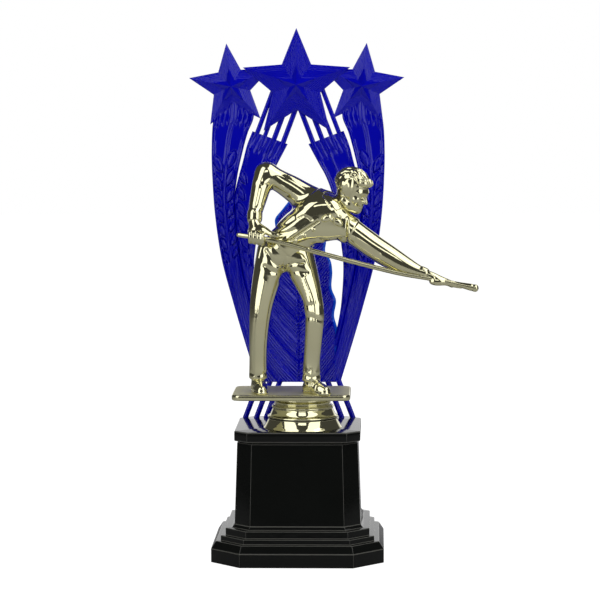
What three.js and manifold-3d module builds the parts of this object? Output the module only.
// A cue-sports trophy: a plated snooker player on a turned skirt, a translucent star-and-leaf
// riser behind the player, and a stepped black pedestal, all drawn together by one tie rod.
// Millimetres, +Z up, -Y to the front. The origin is the centre of the underside.
import * as THREE from 'three';
import { mergeVertices } from 'three/addons/utils/BufferGeometryUtils.js';
import Module from 'manifold-3d';

const wasm = await Module();
wasm.setup();

// ---------------------------------------------------------------- driving dimensions
const FIT = 0.3;                      // clearance where one piece passes through another
const totalHeight = 300;

const plinthHalf = 48.6;              // half the width across the flats at the foot
const plinthChamfer = 16.9;
const columnFoot = 19.1;              // height where the column leaves the plinth
const columnTop = 67.2;
const capBottom = 68.2;
const capTop = 74;
const capHalf = 35.4;
const capChamfer = 7.5;
const shoulderHalf = 32.8;            // the cap's shoulder, which keeps a shadow gap above the column
const spigotHalf = 30.4;              // the cap's spigot, which sits inside the column
const spigotBottom = 63;
const hollowHalf = 28;                // the hollow inside the spigot
const wall = 2.4;                     // moulded wall of the pedestal
const edgeRound = 0.6;                // how far the cap's edges are eased
const deckTop = 18.5;                 // web that the rod's washer bears on
const deckBottom = 16;

const rodX = 2.6;                     // the tie rod stands forward of centre, clear of the riser
const rodY = -10;
const rodRadius = 2.4;
const rodBottom = 7.5;
const rodTop = 88.6;
const bossRadius = 6;                 // boss under the cap that the rod passes through
const washerRadius = 10;
const washerThickness = 1.2;
const nutRadius = 5.2;                // across the corners
const nutHeight = 4;
const nutTop = 88.4;                  // top of the nut held in the skirt's neck

const skirtRadius = 22.4;
const skirtTop = 91.4;
const plateTop = 94.7;
const plateWidth = 66.5;
const plateDepth = 45;
const plateCorner = 5;
const plateCentreX = -3.4;

const riserFront = 28.6;
const riserCentreX = -0.8;
const riserThickness = 2.6;
const relief = 4.2;                   // how far the middle of a star stands in front of the sheet
const tabDepth = 3.2;                 // how far the riser's tabs sink into the cap

// ---------------------------------------------------------------- solids and meshes
/** Turns a closed three.js geometry into a solid for joining and cutting. */
function solid(geometry) {
  const bare = geometry.clone();
  bare.deleteAttribute('normal');
  bare.deleteAttribute('uv');
  const merged = mergeVertices(bare, 1e-4);
  return new wasm.Manifold(new wasm.Mesh({
    numProp: 3,
    vertProperties: new Float32Array(merged.attributes.position.array),
    triVerts: new Uint32Array(merged.index.array),
  }));
}

/** Turns a solid back into a three.js geometry. */
function geometryOf(body) {
  const mesh = body.getMesh();
  const geometry = new THREE.BufferGeometry();
  geometry.setAttribute('position', new THREE.BufferAttribute(new Float32Array(mesh.vertProperties), 3));
  geometry.setIndex(new THREE.BufferAttribute(new Uint32Array(mesh.triVerts), 1));
  geometry.computeVertexNormals();
  return geometry;
}

const joined = (bodies) => bodies.reduce((whole, body) => whole.add(body));
const cut = (body, tools) => tools.reduce((left, tool) => left.subtract(tool), body);

/** Skins a stack of rings, each with the same number of points, and closes both ends with a fan. */
function skin(rings) {
  const sides = rings[0].length;
  const first = rings[0], last = rings.at(-1);
  const middle = (ring) => ring.reduce((sum, p) => sum.add(p), new THREE.Vector3()).divideScalar(sides);
  const points = [...rings.flat(), middle(first), middle(last)];
  const foot = points.length - 2, head = points.length - 1;
  const faces = [];
  for (let i = 0; i < sides; i++) {
    const next = (i + 1) % sides;
    for (let r = 0; r < rings.length - 1; r++) {
      const a = r * sides + i, b = r * sides + next;
      faces.push(a, b, b + sides, a, b + sides, a + sides);
    }
    const top = (rings.length - 1) * sides;
    faces.push(foot, next, i, head, top + i, top + next);
  }
  const geometry = new THREE.BufferGeometry().setFromPoints(points);
  geometry.setIndex(faces);
  return geometry;
}

/** The corners of a square with its corners cut off, at one height. */
function octagonRing(z, half, chamfer) {
  const flat = half - chamfer;
  const corners = [
    [flat, -half], [half, -flat], [half, flat], [flat, half],
    [-flat, half], [-half, flat], [-half, -flat], [-flat, -half],
  ];
  return corners.map(([x, y]) => new THREE.Vector3(x, y, z));
}

/** An eight-sided block from sections of [height, half width, chamfer]. */
const octagonBlock = (sections) => solid(skin(sections.map((section) => octagonRing(...section))));

/** A turned solid about the vertical line through (x, y), from [radius, height] points. */
function turned(profile, x, y, segments = 32) {
  const outline = profile.map(([radius, height]) => new THREE.Vector2(radius, height));
  const geometry = new THREE.LatheGeometry(outline, segments);
  geometry.rotateX(Math.PI / 2);
  geometry.translate(x, y, 0);
  return solid(geometry);
}

/** A plain upright cylinder between two heights; six segments make a hexagon. */
function post(x, y, radius, z0, z1, segments = 24) {
  const geometry = new THREE.CylinderGeometry(radius, radius, z1 - z0, segments);
  geometry.rotateX(Math.PI / 2);
  geometry.translate(x, y, (z0 + z1) / 2);
  return solid(geometry);
}

/** A box from its lowest to its highest corner. */
function block(low, high) {
  const size = high.map((value, axis) => value - low[axis]);
  const geometry = new THREE.BoxGeometry(...size);
  geometry.translate(...low.map((value, axis) => value + size[axis] / 2));
  return solid(geometry);
}

// ---------------------------------------------------------------- pedestal
const STEPS = [                       // height, half width and chamfer, from the foot upwards
  [0, plinthHalf, plinthChamfer],
  [7.8, plinthHalf, plinthChamfer],
  [12.1, 45.8, 15],
  [12.1, 43.2, 13.5],
  [15, 43.2, 13.5],
  [15, 40.5, 12],
  [columnFoot, 40.5, 12],
  [columnFoot, 37, 9.8],
  [columnFoot + 1.8, 35.5, 9.1],
  [columnTop, 33.9, 8.5],
];

function pedestalBody() {
  const outside = octagonBlock(STEPS);
  const lowerHollow = octagonBlock([
    [-1, plinthHalf - wall, plinthChamfer - 1],
    [7, plinthHalf - wall, plinthChamfer - 1],
    [12, 38.5, 13],
    [deckBottom, 36.5, 12],
  ]);
  const upperHollow = octagonBlock([
    [deckTop, 32.8, 8],
    [columnTop + 1, 33.9 - wall, 7.4],
  ]);
  const rodHole = post(rodX, rodY, rodRadius + FIT, deckBottom - 1, deckTop + 1);
  return cut(outside, [lowerHollow, upperHollow, rodHole]);
}

function pedestalCap(pockets) {
  const lid = octagonBlock([
    [capBottom, capHalf - edgeRound, capChamfer],
    [capBottom + edgeRound, capHalf, capChamfer],
    [capTop - edgeRound, capHalf, capChamfer],
    [capTop, capHalf - edgeRound, capChamfer],
  ]);
  const shoulder = octagonBlock([[columnTop, shoulderHalf, 8], [capBottom + 1, shoulderHalf, 8]]);
  const spigot = octagonBlock([[spigotBottom, spigotHalf, 7.2], [columnTop + 1, spigotHalf, 7.2]]);
  const hollow = octagonBlock([[spigotBottom - 1, hollowHalf, 6.4], [capBottom, hollowHalf, 6.4]]);
  const boss = post(rodX, rodY, bossRadius, spigotBottom, capBottom + 1);
  const rodHole = post(rodX, rodY, rodRadius + FIT, spigotBottom - 3, capTop + 1);
  const shell = cut(joined([lid, shoulder, spigot]), [hollow]).add(boss);
  return cut(shell, [rodHole, ...pockets]);
}

const padHalf = 45;
const padThickness = 1.5;
const ballastWell = 14;               // radius of the well in the plaster round the washer and nut

function ballastWeight() {
  const low = padThickness + FIT;
  const slab = octagonBlock([[low, padHalf - 0.4, 15.2], [6.6, padHalf - 0.4, 15.2], [11.6, 37, 12.6]]);
  return slab.subtract(post(rodX, rodY, ballastWell, 0, deckBottom));
}

const basePad = () => octagonBlock([[0, padHalf, 15.4], [padThickness, padHalf, 15.4]]);

// ---------------------------------------------------------------- tie rod and its hardware
const tieRod = () => post(rodX, rodY, rodRadius, rodBottom, rodTop, 16);

function ring(outer, inner, z0, z1, segments) {
  return post(rodX, rodY, outer, z0, z1, segments).subtract(post(rodX, rodY, inner, z0 - 1, z1 + 1, 16));
}

const washerBottom = deckBottom - washerThickness;
const bottomWasher = () => ring(washerRadius, rodRadius + FIT, washerBottom, deckBottom, 24);
const bottomNut = () => ring(nutRadius, rodRadius + FIT, washerBottom - nutHeight, washerBottom, 6);
const skirtNut = () => ring(nutRadius, rodRadius + FIT, nutTop - nutHeight, nutTop, 6);

// ---------------------------------------------------------------- turned skirt and plate
const SKIRT_OUTSIDE = [               // radius and height, from the rim up to the neck
  [skirtRadius, capTop], [skirtRadius - 0.3, 74.6], [20.3, 77], [17.8, 80.6], [17.6, 81.1], [18.1, 81.7],
  [18.1, 82.5], [17.3, 83.1], [16, 83.9], [15.3, 85], [15.4, 85.7], [16.2, 86.2], [16.5, 87.1], [16.1, 88.1],
  [15, 88.8], [14.4, 89.4], [14.6, 90.4], [15, skirtTop],
];

const neckBottom = 84;                // where the skirt's hollow ends under the nut's seat

function figureSkirt() {
  const outside = turned([[0, capTop], ...SKIRT_OUTSIDE, [0, skirtTop]], rodX, rodY, 36);
  const hollow = [[20, capTop - 1], [20, 74.6], [15.6, 80.6], [12, neckBottom]];
  const inside = turned([[0, capTop - 1], ...hollow, [0, neckBottom]], rodX, rodY, 24);
  const nutSeat = post(rodX, rodY, nutRadius + FIT, neckBottom - 1, nutTop + FIT, 6);
  const rodBore = post(rodX, rodY, rodRadius + FIT, neckBottom - 1, rodTop + 2 * FIT, 16);
  return cut(outside, [inside, nutSeat, rodBore]);
}

function figurePlate() {
  const radius = plateCorner, w = plateWidth / 2 - radius, d = plateDepth / 2 - radius;
  const outline = new THREE.Shape();
  outline.absarc(w, -d, radius, -Math.PI / 2, 0);
  outline.absarc(w, d, radius, 0, Math.PI / 2);
  outline.absarc(-w, d, radius, Math.PI / 2, Math.PI);
  outline.absarc(-w, -d, radius, Math.PI, Math.PI * 1.5);
  outline.closePath();
  const geometry = new THREE.ExtrudeGeometry(outline, {
    depth: plateTop - skirtTop, bevelEnabled: false, curveSegments: 5,
  });
  geometry.translate(plateCentreX, rodY, skirtTop);
  return solid(geometry);
}

// ---------------------------------------------------------------- player
/** A limb: a tapered rod with round ends, from one ball centre and radius to another. */
function limb(from, r0, to, r1, segments = 10) {
  const a = new THREE.Vector3(...from), b = new THREE.Vector3(...to);
  const length = a.distanceTo(b);
  const lean = Math.asin(THREE.MathUtils.clamp((r0 - r1) / length, -1, 1));
  const arc = (radius, centre, start, end, steps) => Array.from({ length: steps + 1 }, (_, i) => {
    const angle = THREE.MathUtils.lerp(start, end, i / steps);
    const onAxis = Math.abs(Math.cos(angle)) < 1e-9;
    return new THREE.Vector2(onAxis ? 0 : radius * Math.cos(angle), centre + radius * Math.sin(angle));
  });
  const profile = [...arc(r0, 0, -Math.PI / 2, lean, 3), ...arc(r1, length, lean, Math.PI / 2, 3)];
  const geometry = new THREE.LatheGeometry(profile, segments);
  const turn = new THREE.Quaternion().setFromUnitVectors(
    new THREE.Vector3(0, 1, 0), b.clone().sub(a).normalize());
  geometry.applyQuaternion(turn);
  geometry.translate(...from);
  return solid(geometry);
}

/** A ball stretched along its own axes and then turned about Y and Z, in degrees. */
function pebble(centre, radii, tiltY = 0, turnZ = 0) {
  const geometry = new THREE.SphereGeometry(1, 12, 8);
  geometry.rotateX(Math.PI / 2);
  geometry.scale(...radii);
  geometry.rotateY(THREE.MathUtils.degToRad(tiltY));
  geometry.rotateZ(THREE.MathUtils.degToRad(turnZ));
  geometry.translate(...centre);
  return solid(geometry);
}

/** A shoe: two balls and the strap of leather between them, flat on the plate. */
function shoe(heel, toe, width) {
  const upper = limb([...heel, plateTop + 2.6], width * 0.55, [...toe, plateTop + 1.4], width * 0.5, 10);
  return upper.intersect(block([-60, -60, plateTop], [60, 20, plateTop + 12]));
}

// Ball centres of the player's joints. The player stoops to the right over the cue.
const JOINT = {
  rightHip: [-13.5, -17, 170], rightKnee: [-21.6, -20, 133], rightAnkle: [-22.7, -17.5, 103.5],
  leftHip: [1, -18, 168], leftKnee: [8.8, -24.5, 142], leftAnkle: [7.8, -22, 104],
  waist: [-4, -16, 178], chest: [13, -17.5, 194],
  rightShoulder: [6.5, -13, 201.5], rightElbow: [-17.4, -12, 217.4], rightWrist: [-23.6, -22, 194],
  rightHand: [-21.4, -28.6, 186.5],
  leftShoulder: [29, -23, 187.5], leftElbow: [50.8, -29, 173.7], leftWrist: [71, -33, 163.6],
  leftHand: [78, -35, 161.6], neck: [19.5, -18, 200], head: [31.2, -22, 209.6],
};

const CUE_LINE = [                    // the cue's centre line from butt to tip
  [-33.5, -26, 184.4], [-14.6, -31, 181.6], [9, -34, 175.6], [42, -35.2, 167.7],
  [74.5, -36.2, 161], [101, -37, 155.1],
];
const cueButtRadius = 1.6;
const cueTipRadius = 1.3;

/** A round rod along the cue's line that tapers from butt to tip. */
function cueRod(extra, sides = 8) {
  const line = new THREE.CatmullRomCurve3(CUE_LINE.map((p) => new THREE.Vector3(...p)));
  const steps = 12;
  const rings = Array.from({ length: steps + 1 }, (_, i) => {
    const t = i / steps;
    const centre = line.getPointAt(t), ahead = line.getTangentAt(t);
    const side = new THREE.Vector3(0, 1, 0).cross(ahead).normalize();
    const up = ahead.clone().cross(side);
    const radius = THREE.MathUtils.lerp(cueButtRadius, cueTipRadius, t) + extra;
    return Array.from({ length: sides }, (_unused, k) => {
      const angle = (2 * Math.PI * k) / sides;
      return centre.clone().addScaledVector(side, radius * Math.cos(angle))
        .addScaledVector(up, radius * Math.sin(angle));
    });
  });
  return solid(skin(rings));
}

function playerFigure() {
  const j = JOINT;
  const body = joined([
    limb(j.rightHip, 9.2, j.rightKnee, 5.8),
    limb(j.rightKnee, 5.8, j.rightAnkle, 5.1),
    limb(j.leftHip, 9.2, j.leftKnee, 6.1),
    limb(j.leftKnee, 6.1, j.leftAnkle, 5.4),
    shoe([-22.6, -15.5], [-19.8, -27.5], 8.6),
    shoe([6.2, -22], [16, -30], 8.6),
    pebble([-6.5, -16.5, 173], [15, 10.5, 9.5]),
    limb(j.waist, 11.2, j.chest, 12.4, 12),
    limb(j.rightShoulder, 8.4, j.leftShoulder, 7.8),
    limb(j.rightShoulder, 7.6, j.rightElbow, 6.4),
    limb(j.rightElbow, 6.2, j.rightWrist, 4),
    limb(j.rightWrist, 3.9, j.rightHand, 4.6),
    limb(j.leftShoulder, 7.6, j.leftElbow, 5.6),
    limb(j.leftElbow, 5.6, j.leftWrist, 3.8),
    limb(j.leftWrist, 3.4, j.leftHand, 3.4),
    limb(j.neck, 6, j.head, 6),
    pebble(j.head, [10.2, 8.6, 12], 12, -20),
  ]);
  return body.subtract(cueRod(FIT));
}

// ---------------------------------------------------------------- riser
/** Thickens an outline drawn in x and z; the front of the sheet faces -Y. */
function sheet(outline) {
  const geometry = new THREE.ExtrudeGeometry(outline, { depth: riserThickness, bevelEnabled: false });
  geometry.rotateX(Math.PI / 2);
  geometry.translate(0, riserFront + riserThickness, 0);
  return solid(geometry);
}

/** A closed outline through points, mirrored to the left where side is -1. */
function outlineOf(points, side = 1) {
  const placed = points.map(([x, z]) => new THREE.Vector2(side * x, z));
  return new THREE.Shape(side > 0 ? placed : placed.reverse());
}

/** A five-armed star whose middle stands proud of its rim, like a shallow pyramid. */
function star({ x, z, radius, waist, tilt, front, back }) {
  const rim = Array.from({ length: 10 }, (_, i) => {
    const angle = Math.PI / 2 - THREE.MathUtils.degToRad(tilt) + (i * Math.PI) / 5;
    const reach = i % 2 ? waist : radius;
    return [x + reach * Math.cos(angle), z + reach * Math.sin(angle)];
  });
  const ringAt = (y) => rim.map(([px, pz]) => new THREE.Vector3(px, y, pz));
  const geometry = skin([ringAt(back), ringAt(front)]);
  const apex = geometry.attributes.position.count - 1;
  geometry.attributes.position.setY(apex, front - relief);
  return solid(geometry);
}

const starBack = riserFront + riserThickness;
const BIG_STAR = { x: 0, z: 268.5, radius: totalHeight - 268.5, waist: 14, tilt: 0 };
const SMALL_STAR = { x: 37.8, z: 267.4, radius: 24.3, waist: 10.8, tilt: 6.2 };

const OUTER_FROND = [                 // up the outer edge, under the star and down the slit
  [17, 96], [24.8, 97.5], [29.3, 111], [38.2, 141.5], [44.7, 166.5], [48.2, 190], [49.8, 212],
  [50.2, 230], [49.2, 247], [46, 262], [32, 262], [25.2, 251], [29.3, 240], [32.6, 228],
  [34.9, 218], [36.6, 207], [36.4, 190], [33, 165], [26, 130],
];
const INNER_FROND = [                 // down the slit and up the edge of the centre opening
  [26.4, 241.2], [29.8, 232.5], [32, 224], [34.8, 214], [36.8, 205.5], [40, 190], [38, 165],
  [31, 135], [22, 97.5], [10, 97.5], [21, 120], [23.6, 133], [25.5, 149], [25.9, 166],
  [24.9, 175], [23.3, 190], [20, 204], [15.5, 216], [12.4, 221.6], [6, 233.6], [14, 232.4], [22, 235.6],
];
const HALF_LEAF = [                   // the feathered centre leaf, up its right edge
  [0, 96], [24, 96], [22.4, 118], [21.4, 130], [20.2, 141], [19.8, 150], [19.3, 162], [16.6, 175],
  [14, 188], [11, 193.5], [6, 200], [0, 205],
];

/** A slanting bar with level ends, from [x, z] at the foot to [x, z] at the head. */
function bar(foot, head, width, side) {
  const corners = [
    [foot[0] - width / 2, foot[1]], [foot[0] + width / 2, foot[1]],
    [head[0] + width / 2, head[1]], [head[0] - width / 2, head[1]],
  ];
  return sheet(outlineOf(corners, side));
}

const strutSlope = 0.38;              // sideways run of every strut for each millimetre of height
const strutWidth = 3.3;
const FOOT_STRUTS = [31.4, 24.9, 19.2]; // where the lower struts stand on the cap
const footStrutTop = 99;
const HEAD_STRUTS = [                 // foot and head heights of the upper struts at their centres
  { x: 6.6, z: 240, low: 231, high: 256, width: 3.1 },
  { x: 12.6, z: 240, low: 230, high: 254, width: 3.1 },
  { x: 18.6, z: 240, low: 230, high: 254, width: 2.6 },
  { x: 20.9, z: 247.5, low: 238, high: 262, width: 2.8 },
];
const tabHalf = 1.4;

function starRiser() {
  const parts = [
    star({ ...BIG_STAR, front: riserFront - 1.6, back: starBack }),
    sheet(outlineOf([...HALF_LEAF, ...HALF_LEAF.slice(1, -1).reverse().map(([x, z]) => [-x, z])])),
  ];
  for (const side of [-1, 1]) {
    parts.push(star({
      ...SMALL_STAR, x: side * SMALL_STAR.x, tilt: side * SMALL_STAR.tilt, front: riserFront, back: starBack,
    }));
    parts.push(sheet(outlineOf(OUTER_FROND, side)), sheet(outlineOf(INNER_FROND, side)));
    for (const foot of FOOT_STRUTS) {
      const head = foot - (footStrutTop - capTop) * strutSlope;
      parts.push(bar([foot, capTop], [head, footStrutTop], strutWidth, side));
    }
    for (const { x, z, low, high, width } of HEAD_STRUTS) {
      const across = (height) => x + (z - height) * strutSlope;
      parts.push(bar([across(low), low], [across(high), high], width, side));
    }
    for (const foot of FOOT_STRUTS.slice(0, 2)) parts.push(tab(side * foot, 0));
  }
  return joined(parts).translate(riserCentreX, 0, 0);
}

/** A tab under a strut, or the pocket for it when grown by the clearance. */
function tab(x, grow) {
  return block(
    [x - tabHalf - grow, riserFront + 0.3 - grow, capTop - tabDepth - grow],
    [x + tabHalf + grow, starBack - 0.3 + grow, capTop + (grow ? 1 : 0.5)]);
}

function tabPockets() {
  const places = [-1, 1].flatMap((side) => FOOT_STRUTS.slice(0, 2).map((foot) => side * foot));
  return places.map((x) => tab(x + riserCentreX, FIT));
}

// ---------------------------------------------------------------- assembly
const FINISH = {
  blackPlastic: { color: 0x151716, roughness: 0.12, metalness: 0 },
  bluePlastic: { color: 0x0a12a8, roughness: 0.18, metalness: 0 },
  goldPlating: { color: 0xcfc79a, roughness: 0.08, metalness: 1 },
  steel: { color: 0x9a9c9e, roughness: 0.35, metalness: 1 },
  plaster: { color: 0xb8b2a6, roughness: 0.9, metalness: 0 },
  padding: { color: 0x222222, roughness: 0.95, metalness: 0 },
};

const PIECES = [
  ['pedestal_body', pedestalBody(), 'blackPlastic'],
  ['pedestal_cap', pedestalCap(tabPockets()), 'blackPlastic'],
  ['ballast_weight', ballastWeight(), 'plaster'],
  ['base_pad', basePad(), 'padding'],
  ['tie_rod', tieRod(), 'steel'],
  ['bottom_washer', bottomWasher(), 'steel'],
  ['bottom_nut', bottomNut(), 'steel'],
  ['skirt_nut', skirtNut(), 'steel'],
  ['star_riser', starRiser(), 'bluePlastic'],
  ['figure_skirt', figureSkirt(), 'goldPlating'],
  ['figure_plate', figurePlate(), 'goldPlating'],
  ['player_figure', playerFigure(), 'goldPlating'],
  ['cue', cueRod(0), 'goldPlating'],
];

const group = new THREE.Group();
for (const [name, body, finish] of PIECES) {
  const mesh = new THREE.Mesh(geometryOf(body), new THREE.MeshStandardMaterial(FINISH[finish]));
  mesh.name = name;
  group.add(mesh);
}

export default group;
